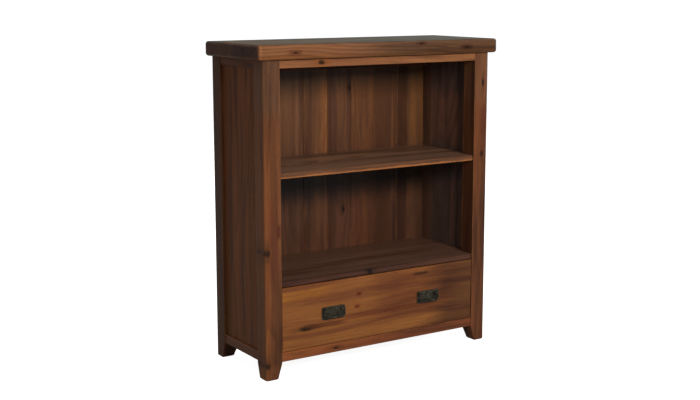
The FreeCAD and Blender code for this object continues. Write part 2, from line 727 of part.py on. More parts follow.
bottom_board = Piece("drawer_bottom", z="rail_top")
bottom_half = "(drawer_inside_half + bottom_groove_depth - bottom_gap)"
bottom_outline = rectangle(f"-{bottom_half}", bottom_half,
                           "drawer_front_back - bottom_groove_depth + bottom_gap", "drawer_rear")
bottom_board.pad("board", "XY", bottom_outline, "groove_bottom + bottom_gap",
                 "drawer_bottom_thickness")


# ---------------------------------------------------------------- bail pulls
# A pull's own frame is on the drawer front's face with +y outwards.

def pull_piece(name, side, along="0", out="0", up="0"):
    return Piece(name, f"{side} * pull_offset + {along}",
                 f"front_y + drawer_front_setback - ({out})",
                 f"rail_top + pull_height + {up}", flip_y=-1)


def pull_plate(name, side):
    """A flat rectangular plate with clipped corners and a bevelled face."""
    plate = pull_piece(name, side)
    wide, tall = "(plate_width / 2)", "(plate_height / 2)"
    quarter = [(wide, f"{tall} - plate_corner_cut"), (f"{wide} - plate_corner_cut", tall)]
    upper = quarter + [(f"-({x})", z) for x, z in reversed(quarter)]
    lower = [(x, f"-({z})") for x, z in reversed(upper)]
    plate.pad("plate", "XZ", upper + lower, "0", "plate_thickness")
    plate.ease("face_bevel", "Chamfer", "plate_bevel",
               lambda x, y, z, along: near(y, "plate_thickness"))
    spots = [(f"{end} * pivot_half", "pivot_rise") for end in (-1, 1)]
    plate.drill("screw_holes", "XZ", spots, "0", "plate_thickness",
                "pull_screw_diameter + 2 * pull_screw_gap")


def pull_post(name, side, end):
    """A turned post with a bevelled end, a socket for the bail's pin and a bore for the screw."""
    stud = pull_piece(name, side, f"{end} * pivot_half", "plate_thickness", "pivot_rise")
    radius, length = "pull_post_diameter / 2", "pull_post_length"
    profile = [("0", "0"), (radius, "0"), (radius, f"{length} - pull_post_chamfer"),
               (f"{radius} - pull_post_chamfer", length), ("0", length)]
    drawing = stud.outline("turning", "XY", profile, "0")

    def settings(feature):
        feature.Profile = drawing
        feature.ReferenceAxis = (drawing, ["V_Axis"])
        feature.Angle = 360
    stud.build("Revolution", "turning", settings, True)
    outer_side = f"{end} * pull_post_diameter / 2"
    bore = stud.circles("pin_socket", "YZ", [("pivot_reach", "0")],
                        "bail_pin_diameter + 2 * bail_pin_clearance", outer_side)
    stud.pocket("pin_socket", "YZ", bore, outer_side, "bail_pin_length", -end)
    stud.drill("screw_bore", "XZ", [("0", "0")], "0", "pull_screw_grip + pull_screw_tip_gap",
               "pull_screw_diameter + 2 * bail_pin_clearance")


def bail(name, side):
    """A flat bar bent to a U, with a pin turned inwards at the head of each arm."""
    loop = pull_piece(name, side, out="plate_thickness + pivot_reach", up="pivot_rise")
    inner, outer = "bail_inner_half", "bail_outer_half"
    right_arm = [(inner, "bail_grip_height - bail_drop"), (inner, "bail_head"),
                 (outer, "bail_head"), (outer, "-bail_drop")]
    left_arm = [(f"-({x})", z) for x, z in reversed(right_arm)]
    loop.pad("bar", "XZ", right_arm + left_arm, "-bail_thickness / 2", "bail_thickness")
    loop.ease("outer_bends", "Fillet", "bail_corner_radius",
              lambda x, y, z, along: along == "y" and near(z, "-bail_drop"))
    loop.ease("inner_bends", "Fillet", "bail_corner_radius / 2",
              lambda x, y, z, along: along == "y" and near(z, "bail_grip_height - bail_drop"))
    loop.ease("arm_heads", "Chamfer", "bail_head_chamfer",
              lambda x, y, z, along: along == "y" and near(z, "bail_head"))
    loop.ease("bar_edges", "Chamfer", "bail_edge_chamfer",
              lambda x, y, z, along: near(abs(y), "bail_thickness / 2"))
    for end_name, end in SIDES:
        pin = loop.circles(f"{end_name}_pin", "YZ", [("0", "0")], "bail_pin_diameter",
                           f"{end} * bail_inner_half")
        loop.pad(f"{end_name}_pin", "YZ", pin, f"{end} * bail_inner_half", "bail_pin_length", -end)


for side_name, side in SIDES:
    pull_plate(f"{side_name}_pull_plate", side)
    for end_name, end in SIDES:
        pull_post(f"{side_name}_pull_{end_name}_post", side, end)
    bail(f"{side_name}_bail", side)


# ---------------------------------------------------------------- screws of the pulls

pull_screws = Piece("pull_screws", z="rail_top", group=True)
pull_shanks = pull_screws.circles("shanks", "XZ", PULL_SCREW_SPOTS, "pull_screw_diameter",
                                  "drawer_front_back")
pull_screws.pad("shanks", "XZ", pull_shanks, "drawer_front_back",
                "drawer_front_thickness + plate_thickness + pull_screw_grip", -1)
pull_heads = pull_screws.circles("heads", "XZ", PULL_SCREW_SPOTS, "pull_screw_head_diameter",
                                 "drawer_front_back")
pull_screws.pad("heads", "XZ", pull_heads, "drawer_front_back", "pull_screw_head_thickness")


# ---------------------------------------------------------------- check and write

doc.recompute()
for item in doc.Objects:
    if "Invalid" in item.State or "Error" in item.State:
        raise RuntimeError(f"{item.Label} did not recompute: {item.State}")
for body in PIECES:
    if body.Shape.isNull() or not body.Shape.isValid() or not body.Shape.Solids:
        raise RuntimeError(f"{body.Label} has no valid solid")

os.makedirs("parts", exist_ok=True)
for body in PIECES:
    body.Shape.exportStep(f"parts/{body.Label}.step")
print(f"{len(PIECES)} pieces written")
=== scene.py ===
import json
import math

import bmesh
import bpy
from mathutils import Matrix, Vector

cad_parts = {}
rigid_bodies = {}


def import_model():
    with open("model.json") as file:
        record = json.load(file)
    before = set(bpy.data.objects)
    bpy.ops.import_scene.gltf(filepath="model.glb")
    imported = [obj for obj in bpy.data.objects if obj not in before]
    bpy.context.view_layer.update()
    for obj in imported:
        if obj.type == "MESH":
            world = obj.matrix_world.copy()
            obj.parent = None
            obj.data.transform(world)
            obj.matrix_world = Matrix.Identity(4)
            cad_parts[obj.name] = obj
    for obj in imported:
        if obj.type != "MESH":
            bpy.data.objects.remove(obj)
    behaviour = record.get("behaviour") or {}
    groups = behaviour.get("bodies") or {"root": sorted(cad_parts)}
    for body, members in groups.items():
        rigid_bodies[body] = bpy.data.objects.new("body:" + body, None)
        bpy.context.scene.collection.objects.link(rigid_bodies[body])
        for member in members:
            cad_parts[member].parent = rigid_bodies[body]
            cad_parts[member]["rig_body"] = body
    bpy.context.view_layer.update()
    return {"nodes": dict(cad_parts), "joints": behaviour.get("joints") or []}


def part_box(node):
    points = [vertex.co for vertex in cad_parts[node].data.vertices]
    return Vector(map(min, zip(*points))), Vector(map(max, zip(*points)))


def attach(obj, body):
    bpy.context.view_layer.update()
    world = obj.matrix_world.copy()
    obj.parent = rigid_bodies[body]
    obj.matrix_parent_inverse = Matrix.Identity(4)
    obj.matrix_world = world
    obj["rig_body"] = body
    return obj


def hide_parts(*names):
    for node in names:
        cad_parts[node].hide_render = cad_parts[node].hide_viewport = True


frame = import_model()


# The viewing place.  Somebody stands to the left of the bookcase, a little above the level of its
# top, so the front and the left side are both in view.  The camera is turned to the right and
# tipped down, and a hair of lens shift sets the case in the middle of its view.
EYE = (-2.173184, -3.321206, 1.217678)
TURNED_RIGHT, TIPPED_UP = 0.575557, -0.167334
LENS_MM, SENSOR_MM, LENS_SHIFT = 61.504292, 36, -0.014286
FARTHEST_SEEN = 4000

bpy.ops.object.select_all(action="DESELECT")
bpy.ops.object.camera_add(location=EYE)
camera = bpy.context.object
camera.name = "camera"
camera.rotation_euler = (math.radians(90) + TIPPED_UP, 0, -TURNED_RIGHT)
camera.data.lens = LENS_MM
camera.data.sensor_width = SENSOR_MM
camera.data.shift_y = LENS_SHIFT
camera.data.clip_end = FARTHEST_SEEN
bpy.context.scene.camera = camera
bpy.context.scene.view_settings.view_transform = "Standard"
bpy.context.scene.view_settings.look = "None"


# The studio.  A wide painted floor in a dim, slightly cool room, both of them plain white to the
# camera.  A soft box stands close in front, above the top of the case, with a weaker one on the
# left, two behind and one on the right.
FLOOR_WIDTH = 6000


def soft_box(name, place, aim, width, height, watts, colour, glare=True):
    """A rectangular studio light that faces its aim; without glare, it gives no reflection."""
    bpy.ops.object.light_add(type="AREA", location=place)
    lamp = bpy.context.object
    lamp.name = name
    lamp.rotation_euler = (Vector(aim) - Vector(place)).to_track_quat("-Z", "Y").to_euler()
    lamp.data.shape = "RECTANGLE"
    lamp.data.size = width
    lamp.data.size_y = height
    lamp.data.energy = watts
    lamp.data.color = colour
    lamp.visible_camera = False
    lamp.visible_glossy = glare


def show_camera(tree, usual, shown, end):
    """The camera looks at the shown shader, while the light of the room meets the usual one."""
    path = tree.nodes.new("ShaderNodeLightPath")
    both = tree.nodes.new("ShaderNodeMixShader")
    tree.links.new(path.outputs["Is Camera Ray"], both.inputs[0])
    tree.links.new(usual.outputs[0], both.inputs[1])
    tree.links.new(shown.outputs[0], both.inputs[2])
    tree.links.new(both.outputs[0], tree.nodes[end].inputs["Surface"])


soft_box("key_light", place=(-0.20, -2.80, 1.75), aim=(0, 0, 0.55), width=1.2, height=0.7,
         watts=64, colour=(1.0, 0.94, 0.83), glare=False)
soft_box("side_light", place=(-4.6, -2.4, 1.5), aim=(-0.4, 0, 0.6), width=1.6, height=1.6,
         watts=22, colour=(1.0, 0.84, 0.60))
soft_box("back_light", place=(-0.6, 4.8, 2.6), aim=(0, 0, 0.6), width=1.6, height=1.4,
         watts=160, colour=(1.0, 0.96, 0.90), glare=False)
soft_box("low_back_light", place=(4.2, 6.4, 1.5), aim=(0, 0, 1.0), width=5.0, height=1.2,
         watts=20, colour=(0.97, 1.0, 0.72))
soft_box("right_light", place=(5.4, 0.4, 1.6), aim=(0, 0, 0.6), width=1.6, height=1.6,
         watts=60, colour=(1.0, 0.97, 0.93))

room = bpy.data.worlds.new("room")
bpy.context.scene.world = room
room.use_nodes = True
dim_wall = room.node_tree.nodes["Background"]
dim_wall.inputs["Color"].default_value = (0.132, 0.168, 0.200, 1)
white_wall = room.node_tree.nodes.new("ShaderNodeBackground")
white_wall.inputs["Color"].default_value = (1, 1, 1, 1)
show_camera(room.node_tree, dim_wall, white_wall, "World Output")

bpy.ops.mesh.primitive_plane_add(size=FLOOR_WIDTH, location=(0, 0, 0))
floor = bpy.context.object
floor.name = "floor"
paint = bpy.data.materials.new("white_floor_paint")
paint.use_nodes = True
grey_floor = paint.node_tree.nodes["Principled BSDF"]
grey_floor.inputs["Base Color"].default_value = (0.25, 0.25, 0.245, 1)
grey_floor.inputs["Roughness"].default_value = 0.85
white_floor = paint.node_tree.nodes.new("ShaderNodeBsdfPrincipled")
white_floor.inputs["Base Color"].default_value = (0.80, 0.80, 0.80, 1)
white_floor.inputs["Roughness"].default_value = 0.9
white_floor.inputs["Emission Color"].default_value = (1, 1, 1, 1)
white_floor.inputs["Emission Strength"].default_value = 0.93
show_camera(paint.node_tree, grey_floor, white_floor, "Material Output")
floor.data.materials.append(paint)


# The four corner posts.  Each is one length of stained hardwood with a tapered foot and a rounded
# outer corner, mortised for the rails.  The rear ones are thinner, with a block glued to the foot.
# The wood, its knots and its worn corners are made here, as the posts are cut first.
RINGS_PER_METRE = 120.0
RING_WANDER = 3.0             # by how many rings the figure wanders
GRAIN_SWAY = (0.0, 0.05, 0.05)
SEED_STEP = (7.31, 1.93, 2.77)  # how far apart two seeds lie in the noise
GRAIN_RELIEF = (0.5, 0.0004)  # strength and height of the grain
RUBBED_SHARE = 0.6            # how much of the pale colour a worn corner shows
THROUGH = 9.0                 # a half depth that goes right through any board
SAME_PLACE = 0.00001          # two points that are closer than this are one
FLAT_ANGLE, SMOOTH_ANGLE, SHARP_ANGLE = 0.002, math.radians(32), math.radians(40)


def tone(red, green, blue):
    """A colour as read off a painter's chart (0 to 255), as the light it gives back."""
    return tuple(((c / 255 + 0.055) / 1.055) ** 2.4 if c > 10 else c / 255 / 12.92
                 for c in (red, green, blue)) + (1.0,)


def wire(nodes_of, kind, sources=(), **settings):
    """One shader node, with its inputs taken in order from values or from other nodes."""
    made = nodes_of.nodes.new("ShaderNode" + kind)
    for key, value in settings.items():
        setattr(made, key, value)
    for number, source in enumerate(sources):
        if isinstance(source, bpy.types.NodeSocket):
            nodes_of.links.new(source, made.inputs[number])
        elif source is not None:
            made.inputs[number].default_value = source
    return made


def maths(nodes_of, operation, *sources):
    """A sum on numbers, given as its output socket."""
    return wire(nodes_of, "Math", sources, operation=operation).outputs[0]


def vectors(nodes_of, operation, *sources):
    """A sum on places or directions, given as its output socket."""
    return wire(nodes_of, "VectorMath", sources, operation=operation).outputs[0]


def between(nodes_of, value, low, high, out_low=0.0, out_high=1.0):
    """A smooth step of the value from one level to another."""
    return wire(nodes_of, "MapRange", (value, low, high, out_low, out_high),
                interpolation_type="SMOOTHSTEP").outputs[0]


def noise(nodes_of, where, stretch, detail=2.0, rough=0.5):
    """Cloudy noise, its size set apart for each direction (repeats in a metre)."""
    scaled = vectors(nodes_of, "MULTIPLY", where, stretch)
    return wire(nodes_of, "TexNoise", (scaled, None, 1.0, detail, rough))


def blend(nodes_of, share, first, second, mode="MIX"):
    """Two colours mixed by a share; the node keeps its colour sockets after those for numbers."""
    made = nodes_of.nodes.new("ShaderNodeMix")
    made.data_type = "RGBA"
    made.blend_type = mode
    for number, source in ((0, share), (6, first), (7, second)):
        if isinstance(source, bpy.types.NodeSocket):
            nodes_of.links.new(source, made.inputs[number])
        else:
            made.inputs[number].default_value = source
    return made.outputs[2]


def new_group(name, inputs, outputs):
    """An empty shader group with named sockets; gives its tree, its input node and its end."""
    group = bpy.data.node_groups.new(name, "ShaderNodeTree")
    for socket, kind in inputs:
        group.interface.new_socket(socket, in_out="INPUT", socket_type="NodeSocket" + kind)
    for socket, kind in outputs:
        group.interface.new_socket(socket, in_out="OUTPUT", socket_type="NodeSocket" + kind)
    given = group.nodes.new("NodeGroupInput").outputs
    return group, given, group.nodes.new("NodeGroupOutput").inputs


def make_knot_group():
    """A knot: the grain parts round it, its heart is dark and a stain runs from it."""
    group, given, gives = new_group(
        "knot",
        (("Vector", "Vector"), ("Along", "Float"), ("Across", "Float"), ("Size", "Float"),
         ("Stretch", "Float"), ("Heart", "Float"), ("Stain", "Float")),
        (("Vector", "Vector"), ("Heart", "Float"), ("Stain", "Float")))
    split = wire(group, "SeparateXYZ", (given["Vector"],)).outputs
    ragged = noise(group, given["Vector"], (50, 120, 80), 3.0).outputs[0]
    ragged = maths(group, "MULTIPLY_ADD", ragged, 2.4, -1.2)
    long_size = maths(group, "MULTIPLY", given["Size"], given["Stretch"])
    along = maths(group, "DIVIDE", maths(group, "SUBTRACT", split[0], given["Along"]), long_size)
    off = maths(group, "SUBTRACT", split[1], given["Across"])
    across = maths(group, "DIVIDE", off, given["Size"])
    along_squared = maths(group, "MULTIPLY", along, along)
    across_squared = maths(group, "MULTIPLY", across, across)
    distance = maths(group, "ADD", along_squared, across_squared)
    swell = maths(group, "EXPONENT", maths(group, "MULTIPLY", distance, -0.30))
    parted = maths(group, "SUBTRACT", split[1],
                   maths(group, "MULTIPLY", maths(group, "MULTIPLY", off, swell), 0.9))
    raised = maths(group, "MULTIPLY_ADD", maths(group, "MULTIPLY", swell, given["Size"]), 0.8,
                   split[2])
    flowed = wire(group, "CombineXYZ", (split[0], parted, raised)).outputs[0]
    heart = between(group, maths(group, "ADD", distance, ragged), 1.35, 0.10)
    tail = maths(group, "ADD", maths(group, "MULTIPLY", along_squared, -0.16),
                 maths(group, "MULTIPLY", across_squared, -0.75))
    stain = maths(group, "EXPONENT", tail)
    group.links.new(flowed, gives["Vector"])
    group.links.new(maths(group, "MAXIMUM", heart, given["Heart"]), gives["Heart"])
    group.links.new(maths(group, "MAXIMUM", stain, given["Stain"]), gives["Stain"])
    return group


def make_hardwood_group():
    """Stained hardwood: tree rings, broad colour bands, dark streaks, fibres and pores."""
    group, given, gives = new_group(
        "stained_hardwood",
        (("Vector", "Vector"), ("Seed", "Float"), ("Pith Across", "Float"),
         ("Pith Behind", "Float"), ("Tilt", "Float"), ("Pale", "Color"), ("Body", "Color"),
         ("Dark", "Color"), ("Figure", "Float"), ("Heart", "Float"), ("Stain", "Float")),
        (("Color", "Color"), ("Roughness", "Float"), ("Height", "Float")))
    seed = wire(group, "CombineXYZ", (given["Seed"], given["Seed"], given["Seed"])).outputs[0]
    where = vectors(group, "MULTIPLY_ADD", seed, SEED_STEP, given["Vector"])
    sway = noise(group, where, (1.6, 5, 5), 2.0).outputs[1]
    sway = vectors(group, "MULTIPLY", vectors(group, "SUBTRACT", sway, (0.5, 0.5, 0.5)), GRAIN_SWAY)
    swayed = vectors(group, "ADD", where, sway)
    ring_place = wire(group, "SeparateXYZ", (vectors(group, "ADD", given["Vector"], sway),)).outputs
    side = maths(group, "SUBTRACT", ring_place[1], given["Pith Across"])
    deep = maths(group, "SUBTRACT", ring_place[2], given["Pith Behind"])
    deep = maths(group, "ADD", deep, maths(group, "MULTIPLY", ring_place[0], given["Tilt"]))
    radius = maths(group, "SQRT", maths(group, "ADD", maths(group, "MULTIPLY", side, side),
                                        maths(group, "MULTIPLY", deep, deep)))
    years = maths(group, "MULTIPLY", radius, RINGS_PER_METRE)
    wander = noise(group, where, (1.2, 9, 9)).outputs[0]
    years = maths(group, "ADD", years, maths(group, "MULTIPLY", wander, RING_WANDER))
    year = maths(group, "FRACT", years)
    ring = maths(group, "MULTIPLY", between(group, year, 0.25, 0.82),
                 between(group, year, 1.0, 0.90))
    fading = between(group, noise(group, where, (0.9, 8, 8), 1.0).outputs[0], 0.36, 0.62, 0.15, 1.0)
    ring = maths(group, "MULTIPLY", maths(group, "MULTIPLY", ring, fading), given["Figure"])

    broad = between(group, noise(group, swayed, (0.7, 8, 8), 2.0).outputs[0], 0.36, 0.62)
    streak = between(group, noise(group, swayed, (1.3, 30, 30), 4.0, 0.6).outputs[0], 0.46, 0.68)
    thin = between(group, noise(group, swayed, (2.6, 95, 95), 3.0, 0.6).outputs[0], 0.40, 0.72)
    fibre = noise(group, swayed, (16, 620, 620), 3.0, 0.6).outputs[0]
    pore = between(group, noise(group, where, (45, 1300, 1300), 1.0).outputs[0], 0.60, 0.72)

    colour = blend(group, broad, given["Body"], given["Pale"])
    for mark, share in ((streak, 0.75), (ring, 0.55), (thin, 0.28)):
        colour = blend(group, maths(group, "MULTIPLY", mark, share), colour, given["Dark"])
    shading = maths(group, "MULTIPLY_ADD", fibre, 0.5, 0.75)
    for mark, loss in ((pore, 0.35), (given["Stain"], 0.45)):
        shading = maths(group, "MULTIPLY", shading, maths(group, "MULTIPLY_ADD", mark, -loss, 1.0))
    grey = wire(group, "CombineXYZ", (shading, shading, shading)).outputs[0]
    colour = blend(group, 1.0, colour, grey, "MULTIPLY")
    colour = blend(group, maths(group, "MULTIPLY", given["Heart"], 0.88), colour, tone(34, 22, 19))
    group.links.new(colour, gives["Color"])

    dull = 0.34
    for mark, share in ((fibre, 0.16), (pore, 0.18), (ring, 0.08)):
        dull = maths(group, "MULTIPLY_ADD", mark, share, dull)
    group.links.new(dull, gives["Roughness"])

    wavy = noise(group, where, (5, 22, 22), 1.0).outputs[0]
    height = 0.5
    for mark, share in ((fibre, 0.30), (pore, -0.45), (ring, 0.18), (wavy, 2.2),
                        (given["Heart"], -0.5)):
        height = maths(group, "MULTIPLY_ADD", mark, share, height)
    group.links.new(height, gives["Height"])
    return group


def make_worn_group():
    """How worn a point is: most at the edges of its own piece, in an uneven band.

    Of a point's three distances to the faces, the middle one is small only near an edge.
    """
    group, given, gives = new_group(
        "worn_edges",
        (("Vector", "Vector"), ("Low", "Vector"), ("High", "Vector"), ("Width", "Float")),
        (("Worn", "Float"),))
    inside = vectors(group, "MINIMUM", vectors(group, "SUBTRACT", given["Vector"], given["Low"]),
                     vectors(group, "SUBTRACT", given["High"], given["Vector"]))
    x, y, z = wire(group, "SeparateXYZ", (inside,)).outputs
    middle = maths(group, "MAXIMUM", maths(group, "MINIMUM", x, y),
                   maths(group, "MINIMUM", maths(group, "MAXIMUM", x, y), z))
    patchy = noise(group, given["Vector"], (14, 14, 14), 3.0, 0.6).outputs[0]
    reach = maths(group, "MULTIPLY", given["Width"],
                  maths(group, "MULTIPLY_ADD", patchy, 2.4, -0.2))
    worn = between(group, maths(group, "DIVIDE", middle, reach), 1.0, 0.3)
    group.links.new(worn, gives["Worn"])
    return group


def make_patch_group():
    """A patch of the board that took the stain lighter or darker, with soft, ragged sides."""
    group, given, gives = new_group(
        "stain_patch",
        (("Vector", "Vector"), ("Color", "Color"), ("Along", "Float"), ("Across", "Float"),
         ("Into", "Float"), ("Half Length", "Float"), ("Half Width", "Float"),
         ("Half Depth", "Float"), ("Gain", "Vector")),
        (("Color", "Color"),))
    split = wire(group, "SeparateXYZ", (given["Vector"],)).outputs
    ragged = noise(group, given["Vector"], (5, 40, 40), 3.0).outputs[0]
    ragged = maths(group, "MULTIPLY_ADD", ragged, 0.9, -0.45)
    along = maths(group, "ABSOLUTE", maths(group, "SUBTRACT", split[0], given["Along"]))
    along = maths(group, "DIVIDE", along, given["Half Length"])
    across = maths(group, "ABSOLUTE", maths(group, "SUBTRACT", split[1], given["Across"]))
    across = maths(group, "DIVIDE", across, given["Half Width"])
    share = maths(group, "MULTIPLY",
                  between(group, maths(group, "ADD", along, ragged), 1.35, 0.65),
                  between(group, maths(group, "ADD", across, ragged), 1.30, 0.70))
    into = maths(group, "ABSOLUTE", maths(group, "SUBTRACT", split[2], given["Into"]))
    share = maths(group, "MULTIPLY", share,
                  between(group, maths(group, "DIVIDE", into, given["Half Depth"]), 1.2, 0.8))
    changed = vectors(group, "MULTIPLY", given["Color"], given["Gain"])
    group.links.new(blend(group, share, given["Color"], changed), gives["Color"])
    return group


KNOT = make_knot_group()
PATCH = make_patch_group()
HARDWOOD = make_hardwood_group()
WORN = make_worn_group()

def start_finish(name):
    """A new finish: the material, its node tree, and the place on the piece as a socket."""
    finish = bpy.data.materials.new(name)
    finish.use_nodes = True
    tree = finish.node_tree
    return finish, tree, tree.nodes.new("ShaderNodeTexCoord").outputs["Object"]


def end_finish(tree, colour, roughness, height, relief, gloss):
    """Lead what changes over the surface to the finish's own shader, which it gives back."""
    shader = tree.nodes["Principled BSDF"]
    tree.links.new(colour, shader.inputs["Base Color"])
    tree.links.new(roughness, shader.inputs["Roughness"])
    bump = wire(tree, "Bump", relief)
    tree.links.new(height, bump.inputs["Height"])
    tree.links.new(bump.outputs[0], shader.inputs["Normal"])
    shader.inputs["Specular IOR Level"].default_value = gloss
    return shader


def wood_finish(name, box, turn, seed, pale, body, dark, figure=0.8, pith=(0.0, 0.09), tilt=0.03,
                knots=(), patches=(), wear=0.0015, edge=tone(160, 104, 64), gloss=0.4,
                roughness=0.0, rubbed=None):
    """The finish of one piece: its own board, with its corners rubbed paler.

    The turn says how the grain lies: its rows turn the piece's directions into along, across and
    into the board.  The pith is where the middle of the tree was.  A knot is (place, size,
    stretch).  A stain patch is (place, half length, half width, gain), with a half depth after it
    where it doesn't go through.
    """
    low, high = box
    slide = -(turn @ ((low + high) / 2))
    finish, tree, here = start_finish(name)
    grain = wire(tree, "Mapping", (here, slide, turn.to_euler()), vector_type="POINT").outputs[0]
    heart = stain = 0.0
    for place, size, stretch in knots:
        at = turn @ Vector(place) + slide
        grain, heart, stain = wire(tree, "Group", (grain, at.x, at.y, size, stretch, heart, stain),
                                   node_tree=KNOT).outputs
    wood = wire(tree, "Group", (grain, seed, pith[0], pith[1], tilt, pale, body, dark, figure,
                                heart, stain), node_tree=HARDWOOD).outputs
    colour = wood["Color"]
    for place, half_length, half_width, gain, *depth in patches:
        at = turn @ Vector(place) + slide
        half_depth = depth[0] if depth else THROUGH
        colour = wire(tree, "Group", (grain, colour, at.x, at.y, at.z, half_length, half_width,
                                      half_depth, gain), node_tree=PATCH).outputs[0]
    low, high = rubbed or box
    worn = wire(tree, "Group", (here, low, high, wear), node_tree=WORN).outputs[0]
    colour = blend(tree, maths(tree, "MULTIPLY", worn, RUBBED_SHARE), colour, edge)
    dull = maths(tree, "ADD", wood["Roughness"], roughness)
    end_finish(tree, colour, dull, wood["Height"], GRAIN_RELIEF, gloss)
    return finish


def eased_copy(node, width):
    """The piece with its sharp corners eased, as a mesh of its own that takes its place."""
    plain = frame["nodes"][node]
    piece = bpy.data.objects.new(node + "_eased", plain.data.copy())
    bpy.context.scene.collection.objects.link(piece)
    piece.data.materials.clear()
    bpy.ops.object.select_all(action="DESELECT")
    bpy.context.view_layer.objects.active = piece
    piece.select_set(True)
    bpy.ops.object.mode_set(mode="EDIT")
    bpy.ops.mesh.select_all(action="SELECT")
    bpy.ops.mesh.remove_doubles(threshold=SAME_PLACE)
    bpy.ops.mesh.dissolve_limited(angle_limit=FLAT_ANGLE)
    bpy.ops.object.mode_set(mode="OBJECT")
    bpy.ops.object.shade_smooth_by_angle(angle=SMOOTH_ANGLE)
    easing = piece.modifiers.new("easing", "BEVEL")
    easing.width = width
    easing.segments = 2
    easing.limit_method = "ANGLE"
    easing.angle_limit = SHARP_ANGLE
    easing.harden_normals = True
    bpy.ops.object.modifier_apply(modifier="easing")
    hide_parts(node)
    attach(piece, plain["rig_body"])
    return piece


def dress(piece, finish):
    """Put one finish on a piece, in place of what it came with."""
    piece.data.materials.clear()
    piece.data.materials.append(finish)


UPRIGHT = Matrix(((0, 0, 1), (1, 0, 0), (0, 1, 0)))
UMBER = tone(66, 41, 30)
POST_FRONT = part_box("front_left_post")[0].y
POSTS = {
    "front_left_post": dict(
        seed=3.1, pale=tone(120, 73, 45), body=tone(98, 60, 39), dark=UMBER, pith=(0.02, 0.16),
        knots=[((-0.428, POST_FRONT, 0.410), 0.009, 1.5),
               ((-0.429, POST_FRONT, 0.048), 0.008, 1.3)],
        # The first two patches are a painted highlight down the rounded front-left corner.
        patches=[((-0.430, POST_FRONT, 0.50), 0.60, 0.013, (1.50, 1.40, 1.15)),
                 ((-0.434, POST_FRONT, 0.50), 0.60, 0.006, (1.28, 1.24, 1.12)),
                 ((-0.384, POST_FRONT, 0.62), 0.24, 0.006, (1.35, 1.35, 1.3)),
                 ((-0.386, POST_FRONT, 0.475), 0.022, 0.008, (0.60, 0.46, 0.60)),
                 ((-0.405, POST_FRONT, 0.44), 0.12, 0.016, (0.98, 0.84, 0.95)),
                 ((-0.417, POST_FRONT, 0.17), 0.13, 0.010, (1.18, 1.14, 1.05)),
                 ((-0.405, POST_FRONT, 0.01), 0.035, 0.040, (1.42, 1.38, 1.25)),
                 ((-0.407, POST_FRONT, 0.95), 0.11, 0.040, (0.90, 1.12, 1.45))]),
    "front_right_post": dict(
        seed=5.7, pale=tone(132, 78, 47), body=tone(108, 64, 40), dark=UMBER, pith=(-0.02, 0.12),
        knots=[((0.412, POST_FRONT, 0.904), 0.006, 2.6), ((0.412, POST_FRONT, 0.660), 0.007, 1.6)],
        patches=[((0.385, POST_FRONT, 0.80), 0.30, 0.008, (1.3, 1.25, 1.1)),
                 # A painted shade darkens the inner face and the inner edge of the front.
                 ((0.3755, POST_FRONT, 0.60), 0.60, 0.004, (0.46, 0.48, 0.60)),
                 ((0.416, POST_FRONT, 0.77), 0.05, 0.012, (0.84, 0.76, 0.82)),
                 ((0.407, POST_FRONT, 0.95), 0.11, 0.040, (1.12, 1.34, 1.58))]),
    "rear_left_post": dict(
        seed=8.2, pale=tone(100, 62, 40), body=tone(88, 54, 35), dark=UMBER, pith=(0.0, 0.14),
        edge=tone(112, 70, 46)),
    "rear_right_post": dict(
        seed=9.4, pale=tone(108, 80, 66), body=tone(94, 70, 58), dark=UMBER, pith=(0.0, 0.14)),
    "rear_left_foot_block": dict(
        seed=10.3, pale=tone(112, 72, 50), body=tone(98, 62, 44), dark=UMBER, pith=(0.0, 0.10)),
    "rear_right_foot_block": dict(
        seed=11.6, pale=tone(112, 72, 50), body=tone(98, 62, 44), dark=UMBER, pith=(0.0, 0.10)),
}
for node, board in POSTS.items():
    post = eased_copy(node, width=0.0012)
    dress(post, wood_finish(node + "_wood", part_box(node), UPRIGHT, wear=0.0025, **board))


# The rails.  Stained hardwood, tenoned and glued into the posts: one front rail under the top and
# one under the drawer, both laid flat, a matching pair behind, and an upper and a lower rail on
# each side.
LENGTHWISE_FRONT = Matrix(((1, 0, 0), (0, 0, 1), (0, -1, 0)))
FRONT_TO_BACK = Matrix(((0, 1, 0), (0, 0, 1), (1, 0, 0)))
LEFT_RAILS = dict(pale=tone(134, 82, 52), body=tone(118, 70, 43), dark=UMBER)
OTHER_RAILS = dict(pale=tone(132, 78, 54), body=tone(104, 66, 43), dark=UMBER)
RAIL_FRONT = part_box("front_top_rail")[0].y
RAILS = {
    "front_top_rail": dict(
        turn=LENGTHWISE_FRONT, seed=12.3, pale=tone(168, 112, 72), body=tone(140, 88, 60),
        dark=tone(84, 52, 38), knots=[((-0.227, RAIL_FRONT, 0.991), 0.008, 1.6)],
        patches=[((-0.222, RAIL_FRONT, 0.990), 0.030, 0.010, (1.16, 1.02, 0.80))]),
    "front_bottom_rail": dict(
        turn=LENGTHWISE_FRONT, seed=14.9, pale=tone(170, 99, 54), body=tone(138, 77, 48),
        dark=UMBER, knots=[((-0.176, RAIL_FRONT, 0.069), 0.006, 2.0)]),
    "rear_top_rail": dict(turn=LENGTHWISE_FRONT, seed=16.1, **OTHER_RAILS),
    "rear_bottom_rail": dict(turn=LENGTHWISE_FRONT, seed=17.8, **OTHER_RAILS),
    "left_side_top_rail": dict(turn=FRONT_TO_BACK, seed=19.2, **LEFT_RAILS),
    "right_side_top_rail": dict(turn=FRONT_TO_BACK, seed=20.6, **OTHER_RAILS),
    "left_side_bottom_rail": dict(turn=FRONT_TO_BACK, seed=22.7, **LEFT_RAILS),
    "right_side_bottom_rail": dict(turn=FRONT_TO_BACK, seed=24.4, **OTHER_RAILS),
}
for node, board in RAILS.items():
    rail = eased_copy(node, width=0.0010)
    dress(rail, wood_finish(node + "_wood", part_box(node), **board))
